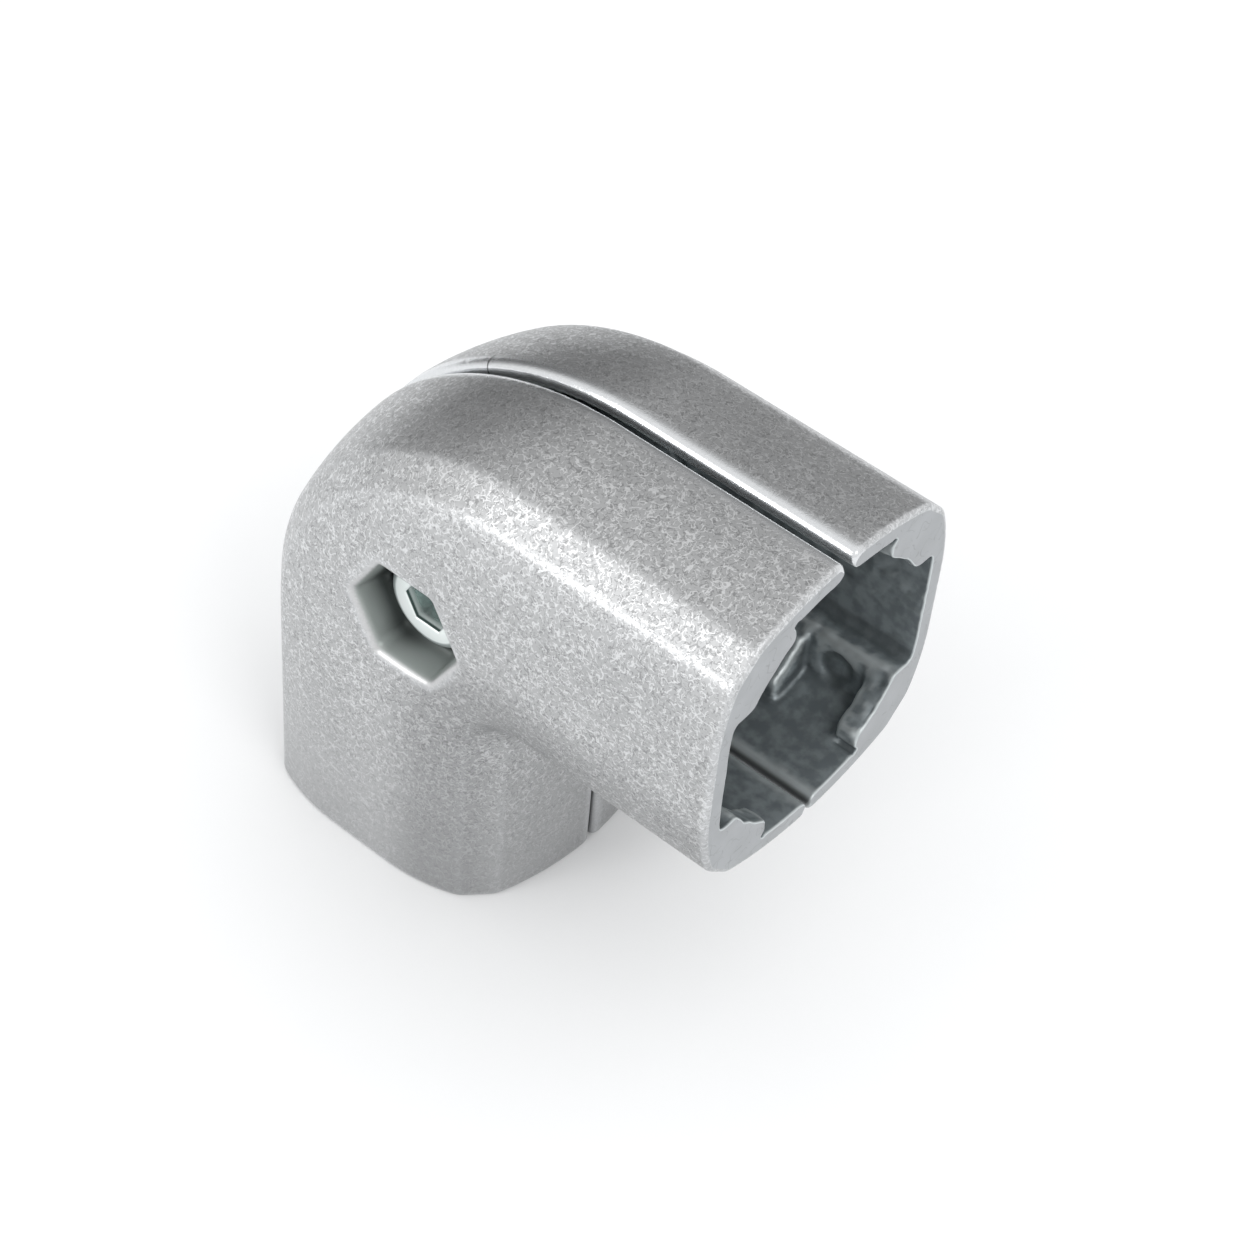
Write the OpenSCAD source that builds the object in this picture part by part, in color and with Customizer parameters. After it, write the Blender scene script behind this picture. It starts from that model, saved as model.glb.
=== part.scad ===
// Two-part clamp elbow that joins two round tubes at a right angle.
// Origin: centre of the lower socket's mouth. The lower tube leaves along -Z, the upper tube along +X.
// The halves part on the plane Y = 0. The camera-side half lies at Y < 0, the far half at Y > 0.

/* [Tube seats] */
// Outer diameter of the tubes
tube_d = 28; // [24:0.5:32]
// Wall thickness of the tubes, caught by the stops
tube_wall = 1.5; // [1:0.1:2.5]
// Rings of seat blocks in each socket
block_rings = 3; // [2:1:4]
// Length of one seat block along the tube
block_len = 2.6; // [1.5:0.1:4]
// Distance from one ring of blocks to the next
block_pitch = 9.9; // [7:0.1:13]
// Distance from the parting plane to a block's flank
block_flank = 7; // [6:0.1:7.5]
// Height of the ridges' shelves above the middle of the socket
shelf_height = 7.2; // [6.5:0.1:7.6]
// Distance from the parting plane to the ridges' faces
ridge_face = 11.5; // [10.5:0.1:12]
// Length of the stop behind the last ring
stop_len = 1.1; // [0.8:0.1:2]
// Radius of the cast relief at the root of a mouth block
relief_r = 0.5; // [0.3:0.1:0.8]
// Diameter of the ejector-pin marks on the ridges
mark_d = 4.5; // [3:0.1:5]
// Depth of the ejector-pin marks
mark_depth = 0.5; // [0.1:0.1:0.8]

/* [Housing] */
// Thickness of the cast wall
wall = 2.2; // [1.6:0.1:3]
// Room between the tube and the wall, at the crown of the outer and inner faces
crown_room = 1.2; // [0.9:0.1:2.5]
// Room between the tube and the wall at the side faces
side_room = 0.85; // [0.6:0.05:2]
// Radius of the inside corner of the elbow
corner_r = 1.5; // [1:0.1:4]
// Radius of the outside of the bend
bend_outer_r = 34.2; // [33:0.1:36]
// Crown radius of the outer and inner faces
crown_r = 36; // [30:1:60]
// Half width of the flat middle of the side faces
side_flat = 4; // [3:0.5:6]
// Crown radius beside that flat middle
side_r = 21.5; // [20:0.5:40]
// Width that the chamfer takes off the outer and inner faces
chamfer_across = 4.65; // [4:0.05:5]
// Width that the chamfer takes off the side faces
chamfer_down = 5; // [4.5:0.1:6]
// Radius of the soft creases beside the chamfer
crease_r = 2; // [1:0.1:3]
// Gap between the halves on the outside of the bend
part_gap = 1.15; // [0.8:0.05:2]
// Gap between the halves on the crook's side
crook_gap = 0.4; // [0.3:0.05:1]
// Radius of the worn lip along the gap
lip_r = 1; // [0.4:0.1:1.2]
// Edge radius outside on the lips along the crook
crook_lip_r = 0.6; // [0.3:0.1:1]
// Radius of the lips' inner edges
lip_inner_r = 1.1; // [0.3:0.1:1.2]

/* [Screw and nut] */
// Thread diameter of the screw
screw_d = 6; // [5:0.5:8]
// Length of the screw under its head
screw_len = 20; // [18:0.5:22]
// Diameter of the screw's head
head_d = 10; // [9:0.5:11]
// Height of the screw's head
head_h = 6; // [4:0.5:7]
// Edge radius of the screw's head
head_edge_r = 0.9; // [0.3:0.1:1.2]
// Width across the flats of the key socket
key_af = 5; // [4:0.5:6]
// Depth of the key socket
key_depth = 3; // [2:0.5:4]
// Length of the screw's chamfered tip
tip_len = 0.8; // [0.5:0.1:1.5]
// Width across the flats of the nut
nut_af = 10; // [9:0.5:11]
// Height of the nut
nut_h = 5; // [4:0.5:6]

/* [Pocket and boss] */
// Room between the pocket's flats and what it holds, the nut or the screw's head
pocket_room = 0.15; // [0.1:0.05:0.4]
// Slope of the pocket's mouth, in degrees from the screw's line
pocket_draft = 8; // [3:1:12]
// Depth of the sloped mouth
pocket_slope_len = 4.5; // [3:0.1:4.5]
// Room between the screw and its hole in each half
hole_room = 0.3; // [0.2:0.05:0.5]
// Thickness of the boss round the pocket's corners
boss_wall = 2.2; // [1.5:0.1:3]
// Thickness of the seat under the head or the nut
seat_floor = 4; // [2.5:0.1:5]

/* [Hidden] */
// Radial running clearance between the screw's thread and the nut's
thread_room = 0.05;
// How far a cut runs past the face that it opens
cut = 1;
// Straight pieces to each part of a curved outline
crown_steps = 6;
crease_steps = 4;
lip_steps = 4;
tube_r = tube_d / 2;
half_h = tube_r + crown_room + wall;
half_w = tube_r + side_room + wall;
bend_r = half_h + corner_r;
tube_depth = (block_rings - 1) * block_pitch + block_len;
reach = tube_depth + stop_len + bend_r;
seat = (screw_len - nut_h) / 2;
// The screw stands on the middle of the bend's centreline
screw_offset = bend_r * (1 - cos(45));
screw_at = [screw_offset, 0, reach - screw_offset];
pocket_af = max(nut_af, head_d) + 2 * pocket_room;
corner_ratio = 1 / cos(30);
// How far the inner and outer parts of the section overlap on the flat of the side faces
overlap = 2;
$fn = 96;

// Outline of one half of the section: u lies in the plane of the elbow, v across it

crown_c = [half_h - crown_r, 0];
side_c = [side_flat, half_w - side_r];
chamfer_v = half_w - chamfer_across;
chamfer_u = half_h - chamfer_down;
chamfer_top = [crown_c[0] + sqrt(crown_r * crown_r - chamfer_v * chamfer_v), chamfer_v];
chamfer_side = [chamfer_u, side_c[1] + sqrt(side_r * side_r - pow(chamfer_u - side_flat, 2))];
chamfer_mid = (chamfer_top + chamfer_side) / 2;
chamfer_dir = (chamfer_side - chamfer_top) / norm(chamfer_side - chamfer_top);
chamfer_out = [-chamfer_dir[1], chamfer_dir[0]] * (chamfer_dir[0] < 0 ? -1 : 1);

// Where a line that starts inside a circle leaves it
function leave_circle(p, d, c, r) =
    let (b = (p - c) * d)
    p + (sqrt(b * b - (p - c) * (p - c) + r * r) - b) * d;

// The arc that rounds the corner at p, between the straight lines to a and b
function round_corner(a, p, b, r, n) =
    let (
        to_a = (a - p) / norm(a - p),
        to_b = (b - p) / norm(b - p),
        half = acos(to_a * to_b) / 2,
        mid = (to_a + to_b) / norm(to_a + to_b),
        c = p + mid * r / sin(half),
        start = p + to_a * r / tan(half) - c,
        finish = p + to_b * r / tan(half) - c,
        turn = acos(max(-1, min(1, start * finish / (r * r))))
    )
    [for (i = [0 : n]) c + (start * sin(turn * (1 - i / n)) + finish * sin(turn * i / n)) / sin(turn)];

// Points of the crowned face, from the parting plane to the chamfer
function crown_points(inset, v0, v1) =
    [for (i = [0 : crown_steps - 1])
        let (v = v0 + (v1 - v0) * i / crown_steps, r = crown_r - inset)
        [crown_c[0] + sqrt(r * r - v * v), v]];

// Points of the side face, from the chamfer to its flat middle
function side_points(inset, u0) =
    [for (i = [1 : crown_steps])
        let (du = (u0 - side_flat) * (1 - i / crown_steps), r = side_r - inset)
        [side_flat + du, side_c[1] + sqrt(r * r - du * du)]];

// A quarter of the section, drawn inset from the outer face, starting at v0 with its lip rounded by lip
function quarter(inset, v0, lip) =
    let (
        mid = chamfer_mid - chamfer_out * inset,
        top = leave_circle(mid, -chamfer_dir, crown_c, crown_r - inset),
        side = leave_circle(mid, chamfer_dir, side_c, side_r - inset),
        crown = crown_points(inset, v0, top[1]),
        face = side_points(inset, side[0]),
        start = lip > 0
            ? round_corner([0, v0], crown[0], crown[1], lip, lip_steps)
            : [crown[0]],
        first_crease = round_corner(crown[crown_steps - 1], top, side, crease_r, crease_steps),
        last_crease = round_corner(top, side, face[0], crease_r, crease_steps)
    )
    concat(start, [for (i = [1 : crown_steps - 1]) crown[i]], first_crease, last_crease, face);

// The part of the section towards +u, from its crown to past the middle of the side face
module crown_half(inset, v0, lip) {
    q = quarter(inset, v0, lip);
    polygon(concat(q, [[-overlap, half_w - inset], [-overlap, v0]]));
}

// The hollow's part of the section towards +u; it flares at the parting plane to round the lip's inner edge
module hollow_half(v0) {
    q = quarter(wall, v0, 0);
    flare = round_corner([half_h, v0], q[0], q[1], lip_inner_r, lip_steps);
    rest = [for (i = [1 : len(q) - 1]) q[i]];
    polygon(concat([[-overlap, 0], [flare[0][0], 0]], flare, rest, [[-overlap, half_w - wall]]));
}

// The section between two crowned faces, both ways from the middle
module half_section(inset, v0, lip) {
    crown_half(inset, v0, lip);
    mirror([1, 0])
        crown_half(inset, v0, lip);
}

// Mirrors a flat shape in u when it is asked to
module flipped(flip) {
    mirror([flip ? 1 : 0, 0])
        children();
}

// Sweeps the inner or the outer part of the section along both arms and the bend between them
module swept_half(outer, past) {
    centre = outer ? bend_outer_r - half_h : bend_r;
    arm = reach - centre + past;
    translate([0, 0, -past])
        linear_extrude(height = arm)
            flipped(outer)
                children();
    translate([reach + past, 0, reach])
        rotate([0, -90, 0])
            linear_extrude(height = arm)
                flipped(!outer)
                    children();
    translate([centre, 0, reach - centre])
        rotate([-90, 0, 0])
            rotate([0, 0, 180])
                rotate_extrude(angle = 90)
                    translate([centre, 0])
                        flipped(!outer)
                            children();
}

// Sweeps a section's two parts along the elbow: the first outside the bend, the second on the crook's side
module elbow_form(past) {
    swept_half(true, past)
        children(0);
    swept_half(false, past)
        children(1);
}

// Puts what stands in the lower socket, mouth at Z = 0, into both sockets
module in_both_sockets() {
    children();
    translate([reach, 0, reach])
        rotate([0, -90, 0])
            children();
}

// Section of the solid corners of a socket, from the flank at v outwards, hollowed to the seat radius
module corner_section(v, seat_r) {
    difference() {
        intersection() {
            half_section(wall / 2, part_gap / 2, 0);
            for (side = [-1, 1])
                translate([side > 0 ? shelf_height : -half_h, v])
                    square([half_h - shelf_height, half_w]);
        }
        circle(r = seat_r);
    }
}

// One ring of seat blocks, which touch the tube along its radius
module seat_blocks(seat_r, len) {
    linear_extrude(height = len)
        corner_section(block_flank, seat_r);
}

// Everything cast into one socket: ridges, rings of blocks and the tube's stop
module socket_lands() {
    linear_extrude(height = block_pitch + block_len)
        corner_section(ridge_face, tube_r);
    for (ring = [0 : block_rings - 1])
        translate([0, 0, ring * block_pitch])
            seat_blocks(tube_r, block_len);
    translate([0, 0, tube_depth])
        seat_blocks(tube_r - tube_wall, stop_len);
}

// Cuts made into one socket's lands: reliefs at the mouth blocks' roots and ejector-pin marks
module socket_cuts() {
    floor_u = crown_c[0] + sqrt(pow(crown_r - wall, 2) - pow(block_flank, 2));
    mark_u = (shelf_height + floor_u) / 2;
    mark_z = (block_pitch + block_len) / 2;
    for (side = [-1, 1]) {
        translate([side * (floor_u - relief_r / 2), block_flank, -cut])
            cylinder(h = block_len + cut, r = relief_r);
        translate([side * mark_u, ridge_face + mark_depth, mark_z])
            rotate([90, 0, 0])
                cylinder(h = cut, d = mark_d);
    }
}

// Hexagonal bar along Z with corners on X; af2 differs from af1 where its flats slope
module hex_bar(af1, af2, h) {
    long = 2 * max(af1, af2);
    intersection_for (turn = [30, 90, 150])
        rotate([0, 0, turn])
            rotate([90, 0, 0])
                linear_extrude(height = long, center = true)
                    polygon([[-af1 / 2, 0], [af1 / 2, 0], [af2 / 2, h], [-af2 / 2, h]]);
}

// Pocket for a nut or a head: a straight hexagon on the seat, then a sloped mouth
module pocket() {
    slope_at = half_w - pocket_slope_len;
    spread = 2 * (pocket_slope_len + cut) * tan(pocket_draft);
    translate([0, 0, seat])
        hex_bar(pocket_af, pocket_af, slope_at - seat);
    translate([0, 0, slope_at])
        hex_bar(pocket_af, pocket_af + spread, pocket_slope_len + cut);
}

// Moves what stands along Z to the screw's line, Z becoming the way from the parting plane outwards
module on_screw_line() {
    translate(screw_at)
        rotate([-90, 0, 0])
            children();
}

// One casting, drawn at Y > 0
module casting() {
    boss_r = pocket_af / 2 * corner_ratio + boss_wall;
    difference() {
        union() {
            difference() {
                elbow_form(0) {
                    crown_half(0, part_gap / 2, lip_r);
                    crown_half(0, crook_gap / 2, crook_lip_r);
                }
                elbow_form(cut) {
                    hollow_half(part_gap / 2);
                    hollow_half(crook_gap / 2);
                }
            }
            in_both_sockets()
                socket_lands();
            on_screw_line()
                translate([0, 0, seat - seat_floor])
                    cylinder(h = half_w - wall / 2 - seat + seat_floor, r = boss_r);
        }
        in_both_sockets()
            socket_cuts();
        on_screw_line() {
            pocket();
            cylinder(h = seat + cut, r = screw_d / 2 + hole_room);
        }
    }
}

// The half on the camera's side
module near_shell() {
    color("#a9abb0")
        mirror([0, 1, 0])
            casting();
}

// The same casting, turned over about the elbow's diagonal
module far_shell() {
    color("#a3a5aa")
        translate([0, 0, reach])
            rotate(a = 180, v = [1, 0, -1])
                translate([0, 0, -reach])
                    mirror([0, 1, 0])
                        casting();
}

// Cap screw with a key socket, its head seated in the near half
module clamp_screw() {
    edge = round_corner([0, head_h], [head_d / 2, head_h], [head_d / 2, 0], head_edge_r, lip_steps);
    thread_r = screw_d / 2 - thread_room;
    color("#d3d9d6")
        translate(screw_at + [0, -seat, 0])
            rotate([90, 0, 0])
                difference() {
                    rotate_extrude()
                        polygon(concat(
                            [[0, head_h]],
                            edge,
                            [
                                [head_d / 2, 0],
                                [thread_r, 0],
                                [thread_r, tip_len - screw_len],
                                [thread_r - tip_len, -screw_len],
                                [0, -screw_len]
                            ]
                        ));
                    translate([0, 0, head_h - key_depth])
                        hex_bar(key_af, key_af, key_depth + cut);
                }
}

// Hexagonal nut with chamfered corners, seated in the far half
module hex_nut() {
    // The chamfer's cones run on past the corners, so that they cut them cleanly
    flat_r = nut_af / 2 - nut_af / 40;
    past_r = nut_af / 2 * corner_ratio + cut;
    rise = (past_r - flat_r) * tan(30);
    color("#d3d9d6")
        on_screw_line()
            translate([0, 0, seat])
                rotate([0, 0, 30])
                    difference() {
                        intersection() {
                            hex_bar(nut_af, nut_af, nut_h);
                            rotate_extrude()
                                polygon([
                                    [0, 0],
                                    [flat_r, 0],
                                    [past_r, rise],
                                    [past_r, nut_h - rise],
                                    [flat_r, nut_h],
                                    [0, nut_h]
                                ]);
                        }
                        translate([0, 0, -cut])
                            cylinder(h = nut_h + 2 * cut, r = screw_d / 2);
                    }
}

near_shell();
far_shell();
clamp_screw();
hex_nut();
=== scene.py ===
# %% [markdown]
# # A clamped corner connector for round tube
# Two copies of one metal casting close round the ends of two tubes, and one cap screw with a nut draws them
# together. The CAD model gives every true size. This script gives the casting its soft edges, its tumbled
# skin and its dark inside, and it gives the screw its thread and its plated look.

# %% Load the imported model
import math

import bmesh
import bpy
import numpy as np
from mathutils import Matrix, Vector, noise


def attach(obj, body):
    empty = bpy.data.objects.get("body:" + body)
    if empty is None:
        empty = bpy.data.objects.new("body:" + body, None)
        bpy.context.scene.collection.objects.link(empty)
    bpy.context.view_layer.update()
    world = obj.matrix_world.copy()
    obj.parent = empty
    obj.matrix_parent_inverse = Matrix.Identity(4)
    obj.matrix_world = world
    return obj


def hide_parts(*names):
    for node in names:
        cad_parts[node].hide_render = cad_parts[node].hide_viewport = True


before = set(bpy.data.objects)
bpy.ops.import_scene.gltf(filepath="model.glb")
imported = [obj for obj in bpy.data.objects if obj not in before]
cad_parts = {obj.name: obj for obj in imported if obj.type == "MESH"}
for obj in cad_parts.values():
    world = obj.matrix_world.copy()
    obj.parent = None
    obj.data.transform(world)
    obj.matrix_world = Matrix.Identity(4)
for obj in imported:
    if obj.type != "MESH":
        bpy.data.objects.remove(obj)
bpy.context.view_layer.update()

MM = 0.001

# %% [markdown]
# ## Camera
# The photograph was taken from the front right and well above, with a long lens. Its azimuth, height and
# roll were worked out from the outlines of both arms, and the camera is placed with those angles, which are
# in radians. A long lens keeps the arms' far ends nearly as big as their near ones.

# %% Place the camera
AZIMUTH = 0.628331
ELEVATION = 0.814220
ROLL = 0.101588
CAMERA_AT = Vector((0.132970, -0.156564, 0.238864))
FOCAL_PX = 2931.39
IMAGE_PX = 1254
SENSOR_MM = 36.0

back = Vector((
    math.sin(AZIMUTH) * math.cos(ELEVATION),
    -math.cos(AZIMUTH) * math.cos(ELEVATION),
    math.sin(ELEVATION),
))
level_right = Vector((0, 0, 1)).cross(back).normalized()
level_up = back.cross(level_right)
right = math.cos(ROLL) * level_right + math.sin(ROLL) * level_up
up = math.cos(ROLL) * level_up - math.sin(ROLL) * level_right

camera_data = bpy.data.cameras.new("camera")
camera_data.sensor_width = SENSOR_MM
camera_data.lens = FOCAL_PX / IMAGE_PX * SENSOR_MM
camera_data.clip_start = 0.01
camera = bpy.data.objects.new("camera", camera_data)
camera.matrix_world = Matrix((right, up, back)).transposed().to_4x4()
camera.location = CAMERA_AT
bpy.context.scene.collection.objects.link(camera)
bpy.context.scene.camera = camera
bpy.context.scene.view_settings.view_transform = "Standard"
print("lens %.2f mm" % camera_data.lens)

# %% [markdown]
# ## Sizes that the pieces share
# These repeat the named sizes of the CAD source, in millimetres, so that a mask or a thread lands on the
# solid that it belongs to.

# %% Sizes from the CAD source
REACH = 42.4
HALF_H = 17.4
HALF_W = 17.05
BEND_R = 18.9
BEND_OUTER_R = 34.2
TUBE_R = 14.0
SEAT = 7.5
SCREW_AT = Vector((5.536, 0.0, 36.864))
SCREW_LEN = 20.0
SCREW_R = 2.95
HEAD_R = 5.0
HEAD_H = 6.0
KEY_AF = 5.0
KEY_DEPTH = 3.0
PITCH = 1.0
print("arms reach %.1f mm from the corner, tubes %.0f mm across" % (REACH, 2 * TUBE_R))

# %% [markdown]
# ## Where a point lies in the casting
# The finishes below have to know whether a point is on the outer skin, inside a socket or beside the gap. The
# outer face is a domed crown, a domed side and a chamfer between them, so the depth under it is the least of
# three distances. The place u is measured across the arm in the plane of both tubes. It is above 0 towards
# the outside of the bend and below 0 towards the crook. The place v is measured away from that plane.

# %% Places in the elbow's section
CROWN_FALL = 72.0
SIDE_FLAT = 4.0
SIDE_FALL = 43.0
CHAMFER_U = 0.724
CHAMFER_V = 0.690
CHAMFER_AT = 19.56


def section_place(co):
    """Where points lie in the elbow's section: u, v and how far inside its outer face, in millimetres."""
    x, y, z = co[:, 0] / MM, np.abs(co[:, 1]) / MM, co[:, 2] / MM

    def across(centre):
        in_bend = (x < centre) & (z > REACH - centre)
        bend = np.hypot(x - centre, z - REACH + centre) - centre
        return np.where(in_bend, bend, np.where(x >= centre, z - REACH, -x))

    outer = across(BEND_OUTER_R - HALF_H)
    u = np.where(outer > 0, outer, across(BEND_R))
    crown = np.abs(u) - HALF_H + y * y / CROWN_FALL
    side = y - HALF_W + np.clip(np.abs(u) - SIDE_FLAT, 0, None) ** 2 / SIDE_FALL
    chamfer = CHAMFER_U * np.abs(u) + CHAMFER_V * y - CHAMFER_AT
    return u, y, -np.maximum(np.maximum(crown, side), chamfer)


def from_screw_line(co):
    """How far points lie from the screw's line, in millimetres."""
    return np.hypot(co[:, 0] / MM - SCREW_AT[0], co[:, 2] / MM - SCREW_AT[2])


def bore_gap(co):
    """How far points lie outside the circle that the tubes fill, in millimetres: below 0 inside it."""
    x, y, z = co[:, 0] / MM, co[:, 1] / MM, co[:, 2] / MM
    upper = np.hypot(y, z - REACH) - TUBE_R
    lower = np.hypot(y, x) - TUBE_R
    return np.where(x + z - REACH > 0, upper, lower)


def ramp(value, low, high):
    """0 below low, 1 above high, smooth between them."""
    t = np.clip((value - low) / (high - low), 0, 1)
    return t * t * (3 - 2 * t)


_, _, screw_depth = section_place(np.array([SCREW_AT]) * MM)
print("the screw's line lies %.1f mm under the crown" % screw_depth[0])

# %% [markdown]
# ## Rings
# The screw, the nut and the cutter that wears the pockets' edges are turned shapes, and each can be seen as
# rings of points, joined one to the next. A circle is extruded from ring to ring, and each new ring is moved
# to its own radii. Each ring holds 48 points, which suits a circle and a hexagon alike.

# %% Rings of points round the screw's line
AROUND = 48
TURN = np.arange(AROUND) * 2 * math.pi / AROUND
CREASE = math.radians(28)


def hexagon(across_flats, corner_at):
    """The radii of a hexagon's outline, with a corner at the angle corner_at."""
    off_flat = np.mod(TURN - corner_at, math.pi / 3) - math.pi / 6
    return across_flats / 2 / np.cos(off_flat)


def place_ring(verts, radii, along):
    """Moves a ring's points to their radii and to one place along Y; both may change round the ring."""
    radii = np.broadcast_to(radii, TURN.shape)
    along = np.broadcast_to(along, TURN.shape)
    for v in verts:
        angle = math.atan2(v.co.x - SCREW_AT[0] * MM, v.co.z - SCREW_AT[2] * MM)
        i = round(angle / TURN[1]) % AROUND
        out = Vector((math.sin(TURN[i]), 0, math.cos(TURN[i])))
        v.co = (SCREW_AT + out * float(radii[i]) + Vector((0, float(along[i]), 0))) * MM


def put_in_order(bm):
    """Sorts a mesh by place, because an extrusion leaves its parts in another order on each run."""
    def sort(parts, place):
        rank = {part: i for i, part in enumerate(sorted(parts, key=place))}
        parts.sort(key=rank.get)
        parts.index_update()

    sort(bm.verts, lambda v: tuple(v.co))
    sort(bm.edges, lambda e: sorted(v.index for v in e.verts))
    sort(bm.faces, lambda f: sorted(v.index for v in f.verts))


def build_from_rings(name, rings, closed):
    """A new piece from one circle, extruded from ring to ring; closed joins the last ring to the first."""
    bm = bmesh.new()
    lie_across = Matrix.Translation(SCREW_AT * MM) @ Matrix.Rotation(math.pi / 2, 4, "X")
    made = bmesh.ops.create_circle(bm, segments=AROUND, radius=MM, matrix=lie_across)["verts"]
    place_ring(made, *rings[0])
    first = edges = bm.edges[:]
    for radii, along in rings[1:]:
        made = bmesh.ops.extrude_edge_only(bm, edges=edges)["geom"]
        edges = [part for part in made if isinstance(part, bmesh.types.BMEdge)]
        place_ring([part for part in made if isinstance(part, bmesh.types.BMVert)], radii, along)
    if closed:
        bmesh.ops.bridge_loops(bm, edges=first + edges)
    else:
        bmesh.ops.edgeloop_fill(bm, edges=first + edges)
    put_in_order(bm)
    bmesh.ops.recalc_face_normals(bm, faces=bm.faces)
    for face in bm.faces:
        face.smooth = True
    for edge in bm.edges:
        edge.smooth = edge.calc_face_angle(0.0) < CREASE
    open_edges = sum(not edge.is_manifold for edge in bm.edges)
    mesh = bpy.data.meshes.new(name)
    bm.to_mesh(mesh)
    bm.free()
    piece = bpy.data.objects.new(name, mesh)
    bpy.context.scene.collection.objects.link(piece)
    print(name, len(mesh.polygons), "faces,", open_edges, "open edges")
    return piece


print("rings of", AROUND, "points")

# %% [markdown]
# ## Soft edges on the casting
# Hours of tumbling with stones round every edge of the real casting, and its inside corners fill a little
# when it is cast. A bevel on each edge would have to cope with hundreds of short edges. Remeshing a copy of
# the solid with small cells gives the same softness everywhere at once, and leaves points enough to dent.
# Two places get help first. Each pocket's edge is worn wider than the cells would make it, and both ends
# are carried further out, so that they can be cut back to sharp flat faces afterwards.

# %% Copy a CAD solid
def copy_of(node, name):
    """A new piece with a merged copy of a CAD node's mesh."""
    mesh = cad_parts[node].data.copy()
    mesh.materials.clear()
    piece = bpy.data.objects.new(name, mesh)
    bpy.context.scene.collection.objects.link(piece)
    bm = bmesh.new()
    bm.from_mesh(mesh)
    bmesh.ops.remove_doubles(bm, verts=bm.verts, dist=0.002 * MM)
    bm.to_mesh(mesh)
    bm.free()
    return piece


def apply_modifiers(piece):
    """Keeps the piece's shape with its modifiers, and drops them."""
    depsgraph = bpy.context.evaluated_depsgraph_get()
    mesh = bpy.data.meshes.new_from_object(piece.evaluated_get(depsgraph))
    piece.modifiers.clear()
    piece.data = mesh
    mesh.name = piece.name


shells = {node: copy_of(node, node + "_casting") for node in ("near_shell", "far_shell")}
print("copied", ", ".join(shells))

# %% Lengthen both ends
SPARE = 1.2
MOUTHS = (
    (Vector((REACH, 0.0, REACH)) * MM, Vector((1, 0, 0))),
    (Vector((0.0, 0.0, 0.0)), Vector((0, 0, -1))),
)


def lengthen_mouths(piece):
    """Carries both flat ends further out, as copies that stay joined to the old outline."""
    bm = bmesh.new()
    bm.from_mesh(piece.data)
    for at, way in MOUTHS:
        ends = [
            f for f in bm.faces
            if f.normal.dot(way) > 0.99 and abs((f.calc_center_median() - at).dot(way)) < 0.02 * MM
        ]
        made = bmesh.ops.extrude_face_region(bm, geom=ends)["geom"]
        verts = [part for part in made if isinstance(part, bmesh.types.BMVert)]
        bmesh.ops.translate(bm, verts=verts, vec=way * SPARE * MM)
    bm.to_mesh(piece.data)
    bm.free()
    print(piece.name, "is %.1f mm longer at each end" % SPARE)


for shell in shells.values():
    lengthen_mouths(shell)

# %% Wear the pockets' edges
POCKET_R = 5.72
POCKET_WEAR = 0.5
PAST_SIDE = 1.0


def wear_pocket(piece, side, corner_at):
    """Bevels the edge of the hexagonal pocket; side is -1 or 1 along Y."""
    rings = [
        (hexagon(2 * (POCKET_R + out), corner_at), side * (HALF_W - POCKET_WEAR + out))
        for out in (0.0, POCKET_WEAR + PAST_SIDE)
    ]
    cutter = build_from_rings("cutter", rings, False)
    cut = piece.modifiers.new("wear", "BOOLEAN")
    cut.operation = "DIFFERENCE"
    cut.solver = "EXACT"
    cut.object = cutter
    apply_modifiers(piece)
    bpy.data.objects.remove(cutter)


wear_pocket(shells["near_shell"], -1, math.pi / 6)
wear_pocket(shells["far_shell"], 1, 0.0)

# %% Remesh both shells
VOXEL = 0.37
SMOOTH_ROUNDS = 2


def soften(piece):
    """Remeshes the piece with small cells, and smooths it a few times."""
    remesh = piece.modifiers.new("cells", "REMESH")
    remesh.mode = "VOXEL"
    remesh.voxel_size = VOXEL * MM
    apply_modifiers(piece)
    bm = bmesh.new()
    bm.from_mesh(piece.data)
    for _ in range(SMOOTH_ROUNDS):
        bmesh.ops.smooth_vert(
            bm, verts=bm.verts, factor=0.5, use_axis_x=True, use_axis_y=True, use_axis_z=True
        )
    bm.to_mesh(piece.data)
    bm.free()
    piece.data.polygons.foreach_set("use_smooth", [True] * len(piece.data.polygons))
    print(piece.name, len(piece.data.polygons), "faces")


for shell in shells.values():
    soften(shell)

# %% [markdown]
# ## The ragged inside and the sawn mouths
# The lands that grip the tubes come out of the die with ragged edges, and the walls behind them are a little
# wavy. 3-D noise pushes the points there along their normals, strongest near the tubes' circle. Then both
# ends are cut back to their true planes, which makes them flat again, and only their edges are rounded:
# wide on the tumbled outside, narrow inside.

# %% Roughen the inside
SKIN_DEPTHS = (0.6, 1.6)
CLEAR_OF_POCKET = (6.9, 7.6)
WAVE_HEIGHT = 0.05
WAVE_SCALE = 500.0
RAGGED_HEIGHT = 0.16
RAGGED_SCALE = 1000.0
RAGGED_SHIFT = Vector((7, 3, 5))
LAND_FAR = 1.6
LAND_NEAR = 0.5


def points_of(mesh):
    co = np.empty(len(mesh.vertices) * 3, np.float32)
    mesh.vertices.foreach_get("co", co)
    return co.reshape(-1, 3).astype(float)


def normals_of(mesh):
    n = np.empty(len(mesh.vertices) * 3, np.float32)
    mesh.vertex_normals.foreach_get("vector", n)
    return n.reshape(-1, 3).astype(float)


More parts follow.
